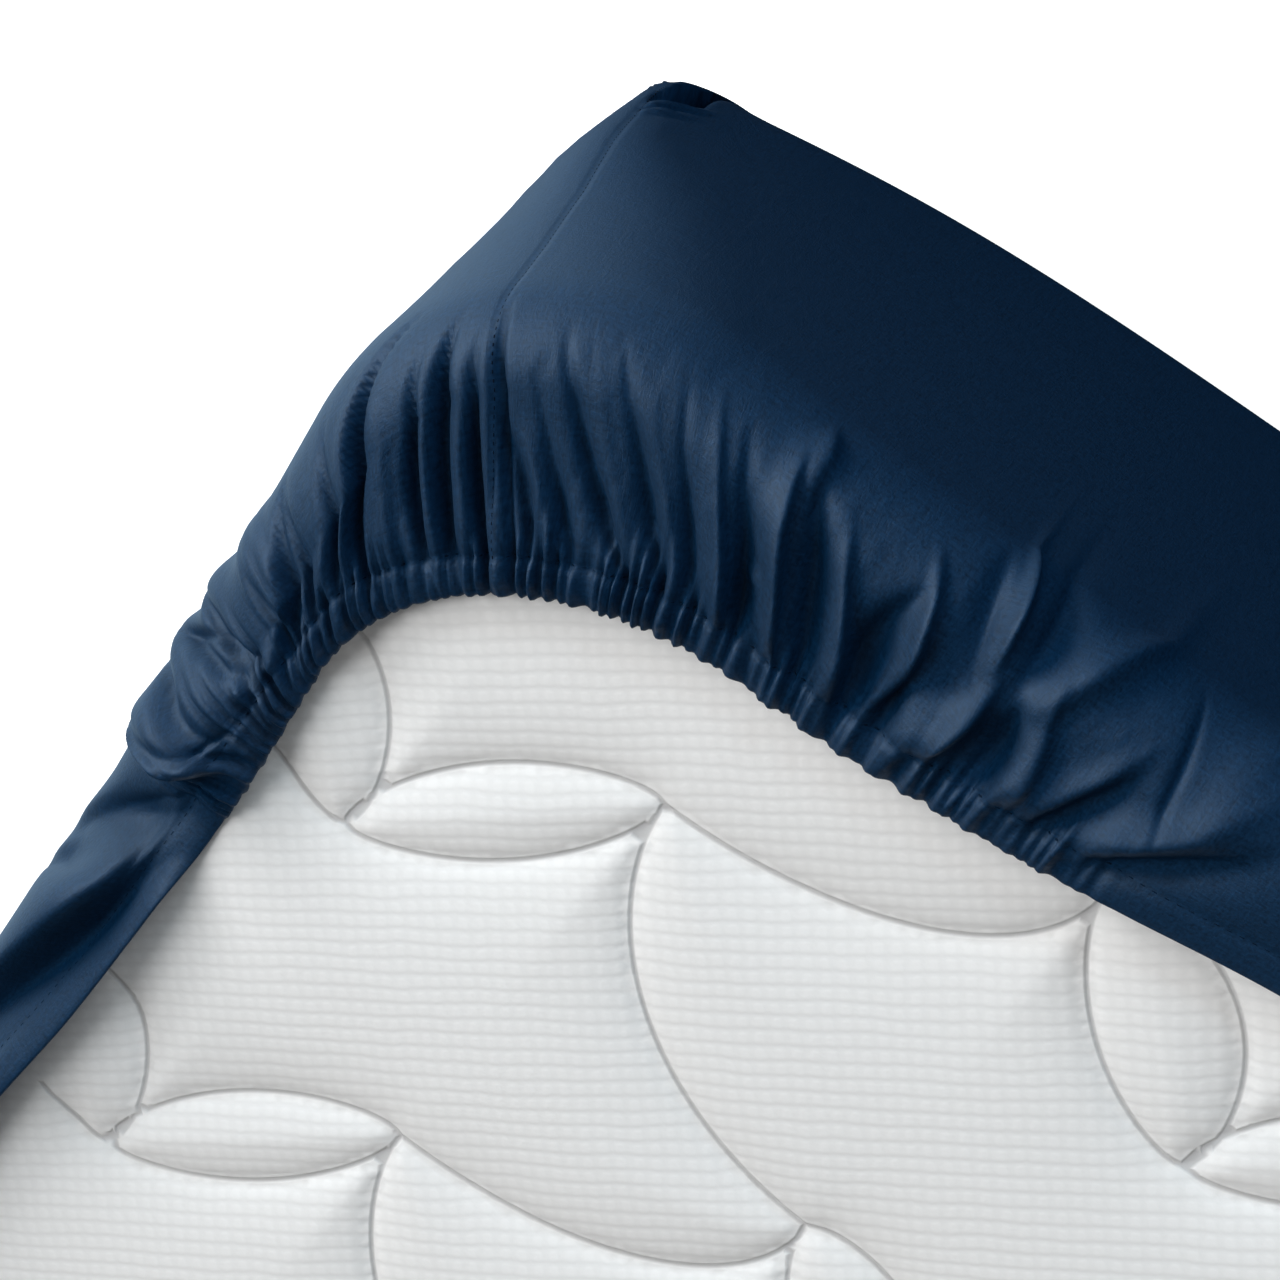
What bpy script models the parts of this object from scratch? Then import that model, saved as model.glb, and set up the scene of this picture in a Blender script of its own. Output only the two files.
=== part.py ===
# A fitted sheet pulled over a single mattress, which lies with its underside up, so that the sheet's sleeping side
# is on the floor and the gathered hem shows all round the top. The view's corner is the first one, at +X -Y.
# Metres, +Z up, the origin on the floor under the middle.

import math

import bmesh
import bpy
import numpy as np
from mathutils import Vector

# Driving dimensions
LENGTH = 2.0  # over the cloth, along X
WIDTH = 0.9  # along Y
HEIGHT = 0.22
CLOTH = 0.0015
LIES_OFF = 0.0003  # between the cloth and the face it lies on
EDGE_CLEARANCE = 0.002  # between the cloth and the mattress's sides and edges

FOOT_RADIUS = 0.012  # of the edge at the floor, along the straight sides
CORNER_FOOT_RADIUS = 0.074  # of the same edge where it lifts at a corner
CORNER_FOOT_REACH = 0.068  # how far along the sides a corner lifts
RIM_RADIUS = 0.022  # of the upper edge, under the turned-in cloth
RIM_PLAN_RADIUS = 0.076  # of that edge at a corner, seen from above
HEM_PLAN_RADII = (0.07, 0.09)  # of the hem's line at a corner, along the sides before and after it
CORNER_SPAN = 0.16  # how far along each side from a corner its round line is measured out

# The corner's radius in plan at each height: sharp at the floor, drawn round by the elastic above
CORNER_ROUNDING = {"height": (0, 0.06, 0.12, 0.16, 0.2), "radius": (0.006, 0.006, 0.02, 0.05, 0.074)}

# How far the hem lies in from the side, by the run along that side from the corner
VIEW_LONG_HEM = {"run": (0, 0.14, 0.2, 0.27, 0.45), "inset": (0.061, 0.06, 0.054, 0.043, 0.03)}
VIEW_SHORT_HEM = {"run": (0, 0.15, 0.2, 0.24, 0.3, 0.42), "inset": (0.038, 0.037, 0.034, 0.03, 0.022, 0.02)}
PLAIN_LONG_HEM = {"run": (0, 0.15, 0.25, 0.45), "inset": (0.056, 0.055, 0.044, 0.03)}
PLAIN_SHORT_HEM = {"run": (0, 0.15, 0.25, 0.42), "inset": (0.044, 0.042, 0.03, 0.02)}

# Stages up a section: 0 at the floor, 1 where the side starts, 2 where it ends, 3 where the top starts, 4 at the hem
STAGES = (0, 0.33, 0.67, 1, 1.5, 2, 2.33, 2.67, 3, 3.25, 3.5, 3.75, 4)

# The view corner's main folds: each ridge's run at the hem and at its upper end, the stage where it starts, its
# height and its half width. Runs are below zero on the short side.
VIEW_FOLDS = [
    {"hem": -0.163, "top": -0.178, "stage": 2.0, "height": 0.010, "width": 0.014},
    {"hem": -0.142, "top": -0.135, "stage": 2.2, "height": 0.005, "width": 0.009},
    {"hem": -0.120, "top": -0.112, "stage": 2.3, "height": 0.005, "width": 0.010},
    {"hem": -0.094, "top": -0.088, "stage": 2.5, "height": 0.004, "width": 0.007},
    {"hem": -0.072, "top": -0.062, "stage": 2.6, "height": 0.005, "width": 0.009},
    {"hem": -0.044, "top": -0.028, "stage": 2.7, "height": 0.004, "width": 0.008},
    {"hem": -0.024, "top": -0.026, "stage": 2.9, "height": 0.003, "width": 0.006},
    {"hem": -0.010, "top": -0.010, "stage": 2.9, "height": 0.003, "width": 0.005},
    {"hem": 0.022, "top": 0.012, "stage": 3.1, "height": 0.003, "width": 0.006},
    {"hem": 0.041, "top": 0.038, "stage": 2.9, "height": 0.003, "width": 0.006},
    {"hem": 0.058, "top": 0.052, "stage": 2.8, "height": 0.004, "width": 0.007},
    {"hem": 0.079, "top": 0.072, "stage": 2.7, "height": 0.005, "width": 0.008},
    {"hem": 0.106, "top": 0.099, "stage": 2.6, "height": 0.007, "width": 0.008},
    {"hem": 0.131, "top": 0.114, "stage": 2.6, "height": 0.005, "width": 0.008},
    {"hem": 0.163, "top": 0.156, "stage": 2.1, "height": 0.005, "width": 0.009},
    {"hem": 0.185, "top": 0.184, "stage": 2.7, "height": 0.005, "width": 0.007},
    {"hem": 0.207, "top": 0.235, "stage": 2.5, "height": 0.007, "width": 0.011},
]

# Where the sections stand: spans of run with the step between sections
VIEW_SPACING = [
    {"start": -0.23, "end": -0.1, "step": 0.007},
    {"start": -0.1, "end": 0.1, "step": 0.0055},
    {"start": 0.1, "end": 0.265, "step": 0.007},
]
PLAIN_SPACING = [
    {"start": -0.211, "end": -0.021, "step": 0.019},
    {"start": -0.021, "end": 0.021, "step": 0.007},
    {"start": 0.021, "end": 0.211, "step": 0.019},
]
MATTRESS_SPACING = [
    {"start": -0.161, "end": -0.021, "step": 0.028},
    {"start": -0.021, "end": 0.021, "step": 0.007},
    {"start": 0.021, "end": 0.161, "step": 0.028},
]
STRAIGHT_STEP = 0.2

# The corners in order round the edge: the place, and the way along the sides before and after it
CORNERS = [
    {"place": (1, -1), "before": (0, 1), "after": (-1, 0)},
    {"place": (-1, -1), "before": (1, 0), "after": (0, 1)},
    {"place": (-1, 1), "before": (0, -1), "after": (1, 0)},
    {"place": (1, 1), "before": (-1, 0), "after": (0, -1)},
]

SHEET_COLOUR = (0.013, 0.033, 0.08, 1)
TICKING_COLOUR = (0.8, 0.8, 0.79, 1)


def read_table(table, column, value):
    """The column's value at one run or height, between the table's rows."""
    first = next(iter(table))
    return float(np.interp(value, table[first], table[column]))


def half_side(corner, run):
    """Half the length of the side that this run lies on."""
    way = CORNERS[corner]["after" if run >= 0 else "before"]
    return (LENGTH if way[0] else WIDTH) / 2


def hem_insets(corner):
    """The hem tables of the sides before and after a corner."""
    if corner == 0:
        return VIEW_SHORT_HEM, VIEW_LONG_HEM
    if CORNERS[corner]["before"][0]:
        return PLAIN_LONG_HEM, PLAIN_SHORT_HEM
    return PLAIN_SHORT_HEM, PLAIN_LONG_HEM


def plan_point(corner, run, insets, corner_insets, radii):
    """A point of the ring round the mattress, and the way out from it, in plan.

    Each pair is for the sides before and after the corner: how far the ring lies in from the side here and at the
    corner, and the round corner's radius along the side.
    """
    after = run >= 0
    side = 1 if after else 0
    arc = math.pi / 8 * sum(radii)
    straight = CORNER_SPAN - corner_insets[1 - side] - radii[side]
    travel = min(abs(run) / CORNER_SPAN, 1) * (arc + straight)
    turn = min(travel / arc, 1) * math.pi / 4
    angle = math.pi / 4 + (turn if after else -turn)
    beyond = max(travel - arc, 0) + max(abs(run) - CORNER_SPAN, 0)
    along_after = (corner_insets if after else insets)[0] + radii[1] * (1 - math.cos(angle))
    along_before = (insets if after else corner_insets)[1] + radii[0] * (1 - math.sin(angle))
    if after:
        along_after += beyond
    else:
        along_before += beyond
    frame = CORNERS[corner]
    place = Vector((frame["place"][0] * LENGTH / 2, frame["place"][1] * WIDTH / 2))
    way_before, way_after = Vector(frame["before"]), Vector(frame["after"])
    out = way_after * -math.cos(angle) + way_before * -math.sin(angle)
    return place + way_before * along_before + way_after * along_after, out


def profile(run, stage, side, face, ease):
    """One section's curve here: how far in from the side, how high, and the tilt of its way out."""
    reach = abs(run) / CORNER_FOOT_REACH
    foot = ease + FOOT_RADIUS + (CORNER_FOOT_RADIUS - FOOT_RADIUS) * math.exp(-(reach**1.35))
    rim = RIM_RADIUS + ease
    top = HEIGHT - face
    if stage <= 1:
        tilt = (stage - 1) * math.pi / 2
        return side + foot * (1 - math.cos(tilt)), face + foot * (1 + math.sin(tilt)), tilt
    if stage <= 2:
        return side, face + foot + (stage - 1) * (top - rim - face - foot), 0
    tilt = min(stage - 2, 1) * math.pi / 2
    return side + rim * (1 - math.cos(tilt)), top - rim + rim * math.sin(tilt), tilt


def section_point(corner, run, stage, side=0.0, face=0.0, ease=0.0):
    """A point of the skin and the way out from it. side and face set the skin back, and ease rounds it more."""
    inset, height, tilt = profile(run, stage, side, face, ease)
    corner_inset, corner_height, _ = profile(0, stage, side, face, ease)
    radius = read_table(CORNER_ROUNDING, "radius", corner_height)
    if stage < 1:
        radius += (corner_inset - side) / 2
    elif stage > 2:
        radius = RIM_PLAN_RADIUS - corner_inset
    wrap = max(stage - 3, 0)
    insets, corner_insets, radii = [], [], []
    for table, along, hem_radius in zip(hem_insets(corner), (max(-run, 0), max(run, 0)), HEM_PLAN_RADII):
        insets.append(inset + wrap * (read_table(table, "inset", along) - inset))
        corner_insets.append(corner_inset + wrap * (read_table(table, "inset", 0) - corner_inset))
        radii.append(radius + wrap * (hem_radius - radius))
    point, out = plan_point(corner, run, insets, corner_insets, radii)
    normal = Vector((out.x * math.cos(tilt), out.y * math.cos(tilt), math.sin(tilt)))
    return Vector((point.x, point.y, height)), normal


def plain_folds(corner):
    """The gathers of a corner that the view doesn't show: the same kind of fold, a little unlike at each corner."""
    folds = []
    for count in range(-4, 5):
        hem = 0.04 * count + 0.006 * math.sin(2.4 * count + corner)
        folds.append({
            "hem": hem,
            "top": hem * 1.08 + 0.004 * math.cos(1.7 * count + corner),
            "stage": 2.55 + 0.3 * math.sin(1.3 * count + 2 * corner),
            "height": 0.0045 + 0.0015 * math.cos(2.1 * count + 3 * corner),
            "width": 0.014,
        })
    return folds


def fold_height(folds, run, stage):
    """How far the ridges lift the cloth here."""
    lift = 0
    for fold in folds:
        climb = (stage - fold["stage"]) / (4 - fold["stage"])
        if climb <= 0:
            continue
        line = fold["top"] + (fold["hem"] - fold["top"]) * climb
        swell = min(climb / 0.35, 1)
        swell *= swell * (3 - 2 * swell)
        lift = max(lift, fold["height"] * swell * math.exp(-(((run - line) / fold["width"]) ** 2)))
    return lift


def section_places(spacings):
    """Every section round the edge as its corner and run, from one side's middle to the next."""
    places = []
    for corner, spans in enumerate(spacings):
        first, last = spans[0]["start"], spans[-1]["end"]
        runs = []
        for span in spans:
            width = span["end"] - span["start"]
            count = round(width / span["step"])
            runs += [span["start"] + width * i / count for i in range(count)]
        before, after = half_side(corner, -1), half_side(corner, 1)
        steps_before = max(round((before + first) / STRAIGHT_STEP), 1)
        steps_after = max(round((after - last) / STRAIGHT_STEP), 1)
        runs = [-before + (before + first) * i / steps_before for i in range(steps_before)] + runs
        runs += [last + (after - last) * i / steps_after for i in range(steps_after)]
        places += [(corner, run) for run in runs]
    return places


def loft(name, rings, close_top):
    """One skin through the rings, from a flat face on the floor up, as a mesh object."""
    mesh = bmesh.new()
    rows = [[mesh.verts.new(point) for point in ring] for ring in rings]
    count = len(rows[0])
    for lower, upper in zip(rows, rows[1:]):
        for i in range(count):
            j = (i + 1) % count
            mesh.faces.new((lower[i], upper[i], upper[j], lower[j]))
    mesh.faces.new(rows[0])
    if close_top:
        mesh.faces.new(rows[-1][::-1])
    bmesh.ops.recalc_face_normals(mesh, faces=mesh.faces)
    data = bpy.data.meshes.new(name)
    mesh.to_mesh(data)
    mesh.free()
    data.shade_smooth()
    data.set_sharp_from_angle(angle=math.radians(50))
    return bpy.data.objects.new(name, data)


def give_material(piece, colour, roughness):
    material = bpy.data.materials.new(piece.name)
    material.use_nodes = True
    shader = material.node_tree.nodes["Principled BSDF"]
    shader.inputs["Base Color"].default_value = colour
    shader.inputs["Roughness"].default_value = roughness
    shader.inputs["Metallic"].default_value = 0
    piece.data.materials.append(material)


def make_sheet(collection):
    """The sheet: one skin from the sleeping side up round the sides and in to the hem, thickened inward."""
    places = section_places([VIEW_SPACING] + [PLAIN_SPACING] * 3)
    folds = [VIEW_FOLDS] + [plain_folds(corner) for corner in (1, 2, 3)]
    rings = []
    for stage in STAGES:
        ring = []
        for corner, run in places:
            point, normal = section_point(corner, run, stage)
            ring.append(point + normal * fold_height(folds[corner], run, stage))
        rings.append(ring)
    sheet = loft("fitted_sheet", rings, close_top=False)
    shell = sheet.modifiers.new("cloth", "SOLIDIFY")
    shell.thickness = CLOTH
    shell.offset = -1
    collection.objects.link(sheet)
    give_material(sheet, SHEET_COLOUR, 0.75)


def make_mattress(collection):
    """The mattress: the same sections, set back from the cloth and closed across the top."""
    places = section_places([MATTRESS_SPACING] * 4)
    rings = []
    for stage in (stage for stage in STAGES if stage <= 3):
        ring = []
        for corner, run in places:
            point, _ = section_point(
                corner, run, stage, side=CLOTH + EDGE_CLEARANCE, face=CLOTH + LIES_OFF, ease=EDGE_CLEARANCE
            )
            ring.append(point)
        rings.append(ring)
    mattress = loft("mattress", rings, close_top=True)
    collection.objects.link(mattress)
    give_material(mattress, TICKING_COLOUR, 0.9)


def main():
    for old in list(bpy.data.objects):
        bpy.data.objects.remove(old)
    collection = bpy.data.collections.new("fitted_sheet_on_mattress")
    bpy.context.scene.collection.children.link(collection)
    make_sheet(collection)
    make_mattress(collection)


main()
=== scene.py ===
import math

import bpy
import numpy as np
from mathutils import Matrix, Vector, kdtree


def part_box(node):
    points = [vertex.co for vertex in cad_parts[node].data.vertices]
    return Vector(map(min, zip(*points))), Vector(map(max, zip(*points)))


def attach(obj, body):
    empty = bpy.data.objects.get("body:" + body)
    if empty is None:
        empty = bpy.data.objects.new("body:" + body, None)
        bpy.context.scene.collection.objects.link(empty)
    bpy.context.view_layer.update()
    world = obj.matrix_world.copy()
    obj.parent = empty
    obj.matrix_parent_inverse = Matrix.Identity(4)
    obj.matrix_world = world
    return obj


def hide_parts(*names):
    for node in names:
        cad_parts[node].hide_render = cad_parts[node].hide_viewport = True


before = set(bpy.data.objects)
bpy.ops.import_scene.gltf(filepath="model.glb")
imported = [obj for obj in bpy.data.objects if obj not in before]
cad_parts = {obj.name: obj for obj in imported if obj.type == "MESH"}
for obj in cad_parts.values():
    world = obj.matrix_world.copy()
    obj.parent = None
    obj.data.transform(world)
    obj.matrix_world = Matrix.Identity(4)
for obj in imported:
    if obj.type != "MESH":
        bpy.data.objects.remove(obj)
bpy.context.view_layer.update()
bpy.ops.object.select_all(action="DESELECT")
mm = 0.001


def smoothStep(value, low, high):
    part = np.clip((value - low) / (high - low), 0, 1)
    return part * part * (3 - 2 * part)


def curveThrough(value, places, heights):
    # a smooth curve through a short table, with no overshoot between its rows
    places, heights = np.array(places, float), np.array(heights, float)
    slopes = np.diff(heights) / np.diff(places)
    product = slopes[:-1] * slopes[1:]
    inner = np.where(product > 0, 2 * product / np.where(product > 0, slopes[:-1] + slopes[1:], 1), 0)
    leans = np.concatenate([slopes[:1], inner, slopes[-1:]])
    value = np.clip(value, places[0], places[-1])
    row = np.clip(np.searchsorted(places, value, side="right") - 1, 0, len(places) - 2)
    width = places[row + 1] - places[row]
    part = (value - places[row]) / width
    square, cube = part**2, part**3
    return (
        (2 * cube - 3 * square + 1) * heights[row]
        + (cube - 2 * square + part) * width * leans[row]
        + (3 * square - 2 * cube) * heights[row + 1]
        + (cube - square) * width * leans[row + 1]
    )


def waver(value, seed):
    # a slow wander between about -1 and 1, the same on every run
    return (
        0.5 * np.sin(value * 1.0 + seed * 1.7)
        + 0.3 * np.sin(value * 2.31 + seed * 4.1 + 1.3)
        + 0.2 * np.sin(value * 4.73 + seed * 2.9 + 0.4)
    )


def gridMesh(name, points, faces):
    data = bpy.data.meshes.new(name)
    data.from_pydata(points.reshape(-1, 3).tolist(), [], faces)
    data.update()
    data.shade_smooth()
    piece = bpy.data.objects.new(name, data)
    bpy.context.scene.collection.objects.link(piece)
    return piece


def quadFaces(rows, columns, closed):
    faces = []
    for row in range(rows - 1):
        for column in range(columns if closed else columns - 1):
            after = (column + 1) % columns
            faces.append((
                row * columns + column, (row + 1) * columns + column,
                (row + 1) * columns + after, row * columns + after,
            ))
    return faces


# the camera: the photograph's own view, down on one corner with the camera rolled

camera = {
    "place": (0.8086, -0.7222, 0.9289),
    "right": (-0.8008, -0.4924, -0.3409),
    "up": (0.5873, -0.7572, -0.2859),
    "back": (-0.1173, -0.4292, 0.8956),
    "lens": 95.6,
}


def makeCamera():
    data = bpy.data.cameras.new("camera")
    data.lens = camera["lens"]
    data.clip_start = 0.02
    view = bpy.data.objects.new("camera", data)
    bpy.context.scene.collection.objects.link(view)
    turn = Matrix((camera["right"], camera["up"], camera["back"])).transposed()
    view.matrix_world = Matrix.Translation(camera["place"]) @ turn.to_4x4()
    bpy.context.scene.camera = view


# the shape that sheet and mattress share: sections round the edge, from the floor up and in to the hem

mattressLow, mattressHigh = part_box("mattress")
block = {
    "length": mattressHigh.x - mattressLow.x + 7 * mm,  # over the cloth
    "width": mattressHigh.y - mattressLow.y + 7 * mm,
    "height": 0.22,
    "foot": 12 * mm,  # radius of the edge at the floor
    "cornerFoot": 74 * mm,  # the same where a corner lifts
    "footReach": 68 * mm,
    "rim": 22 * mm,  # radius of the upper edge
    "rimPlan": 76 * mm,  # of that edge at a corner, seen from above
    "hemPlan": (67 * mm, 87 * mm),
    "span": 160 * mm,
}
cornerRounding = {"height": (0, 60, 120, 160, 200), "radius": (6, 6, 20, 50, 74)}
viewShortHem = {"run": (0, 150, 200, 240, 300, 420), "inset": (36.5, 36, 33.5, 30, 22, 20)}
viewLongHem = {"run": (0, 140, 200, 270, 450), "inset": (59.5, 58.5, 53, 43, 30)}
plainShortHem = {"run": (0, 150, 250, 420), "inset": (44, 42, 30, 20)}
plainLongHem = {"run": (0, 150, 250, 450), "inset": (56, 55, 44, 30)}
# the corners in order round the edge, with the hem tables of the sides before and after
corners = [
    {"place": (1, -1), "before": (0, 1), "after": (-1, 0), "hems": (viewShortHem, viewLongHem)},
    {"place": (-1, -1), "before": (1, 0), "after": (0, 1), "hems": (plainLongHem, plainShortHem)},
    {"place": (-1, 1), "before": (0, -1), "after": (1, 0), "hems": (plainShortHem, plainLongHem)},
    {"place": (1, 1), "before": (-1, 0), "after": (0, -1), "hems": (plainLongHem, plainShortHem)},
]


def readHem(table, run):
    return curveThrough(run / mm, table["run"], table["inset"]) * mm


def profile(run, stage, side=0.0, face=0.0, ease=0.0):
    # one section: 0 at the floor, 1 where the side starts, 2 where it ends, 3 where the top starts, 4 at the hem
    lifted = np.exp(-((np.abs(run) / block["footReach"]) ** 1.35))
    foot = ease + block["foot"] + (block["cornerFoot"] - block["foot"]) * lifted
    rim = block["rim"] + ease
    top = block["height"] - face
    tilt = np.where(stage < 1, (stage - 1), np.clip(stage - 2, 0, 1)) * math.pi / 2
    radius = np.where(stage < 1, foot, rim)
    inset = side + radius * (1 - np.cos(tilt))
    climb = np.clip(stage - 1, 0, 1) * (top - rim - face - foot)
    height = np.where(stage < 2, face + foot * (1 + np.sin(np.minimum(tilt, 0))) + climb, top - rim + rim * np.sin(tilt))
    return inset, height, tilt


def section(corner, run, stage, side=0.0, face=0.0, ease=0.0):
    # points of the skin, with the way out from it and the way along it
    inset, height, tilt = profile(run, stage, side, face, ease)
    cornerInset, cornerHeight, _ = profile(0 * run, stage, side, face, ease)
    radius = curveThrough(cornerHeight / mm, cornerRounding["height"], cornerRounding["radius"]) * mm
    radius = np.where(stage < 1, radius + (cornerInset - side) / 2, radius)
    rounding = block["rimPlan"] - cornerInset
    radius = radius + smoothStep(stage, 1.8, 2.2) * (rounding - radius)
    wrap = np.clip(stage - 3, 0, None)
    insets, cornerInsets, radii = [], [], []
    runs = (np.maximum(-run, 0), np.maximum(run, 0))
    for table, along, hemRadius in zip(corners[corner]["hems"], runs, block["hemPlan"]):
        insets.append(inset + wrap * (readHem(table, along) - inset))
        cornerInsets.append(cornerInset + wrap * (readHem(table, 0 * along) - cornerInset))
        radii.append(radius + wrap * (hemRadius - radius))
    after = run >= 0
    arc = math.pi / 8 * (radii[0] + radii[1])
    straight = block["span"] - np.where(after, cornerInsets[0] + radii[1], cornerInsets[1] + radii[0])
    travel = np.minimum(np.abs(run) / block["span"], 1) * (arc + straight)
    turn = np.minimum(travel / arc, 1) * math.pi / 4
    angle = math.pi / 4 + np.where(after, turn, -turn)
    beyond = np.maximum(travel - arc, 0) + np.maximum(np.abs(run) - block["span"], 0)
    alongAfter = np.where(after, cornerInsets[0] + beyond, insets[0]) + radii[1] * (1 - np.cos(angle))
    alongBefore = np.where(after, insets[1], cornerInsets[1] + beyond) + radii[0] * (1 - np.sin(angle))
    place, wayBefore, wayAfter = (np.array(corners[corner][key], float) for key in ("place", "before", "after"))
    place = place * (block["length"] / 2, block["width"] / 2)
    flat = place + wayBefore * alongBefore[..., None] + wayAfter * alongAfter[..., None]
    out = -wayAfter * np.cos(angle)[..., None] - wayBefore * np.sin(angle)[..., None]
    along = wayAfter * np.sin(angle)[..., None] - wayBefore * np.cos(angle)[..., None]
    points = np.concatenate([flat, height[..., None]], -1)
    normals = np.concatenate([out * np.cos(tilt)[..., None], np.sin(tilt)[..., None]], -1)
    level = np.zeros_like(height[..., None])
    return points, normals, np.concatenate([along, level], -1), np.concatenate([-out, level], -1)


def halfSide(corner, key):
    return (block["length"] if corners[corner][key][0] else block["width"]) / 2


# the fitted sheet: cotton, with its folds, gathers and hem

sheet = {
    "hemWidth": 8.5 * mm,
    "tunnel": 1.3 * mm,  # how much the hem swells over its elastic
    "gatherPitch": 3.6 * mm,
    "gatherHeight": 2.4 * mm,
    "pleatPitch": 9 * mm,
    "pleatHeight": 1.3 * mm,
    "loose": 4.2 * mm,  # how far the gathered cloth stands off the mattress on average
    "sunk": 1.0 * mm,  # how deep a valley may go before the mattress stops it
    "hollow": 2.4 * mm,  # how much deeper at the mattress's corners, which are soft there
    "flatCut": (1.44, 2.54),
    "cutArea": 3.37,
}
# how far apart the sections stand along the hem, by their run from each kind of corner
viewSpacing = {"run": (-330, -215, -200, 225, 250, 340), "step": (9, 2.2, 0.7, 0.7, 3, 9)}
plainSpacing = {"run": (-330, -200, 200, 330), "step": (18, 3.4, 3.4, 18)}
sideSpacing = 26 * mm

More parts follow.
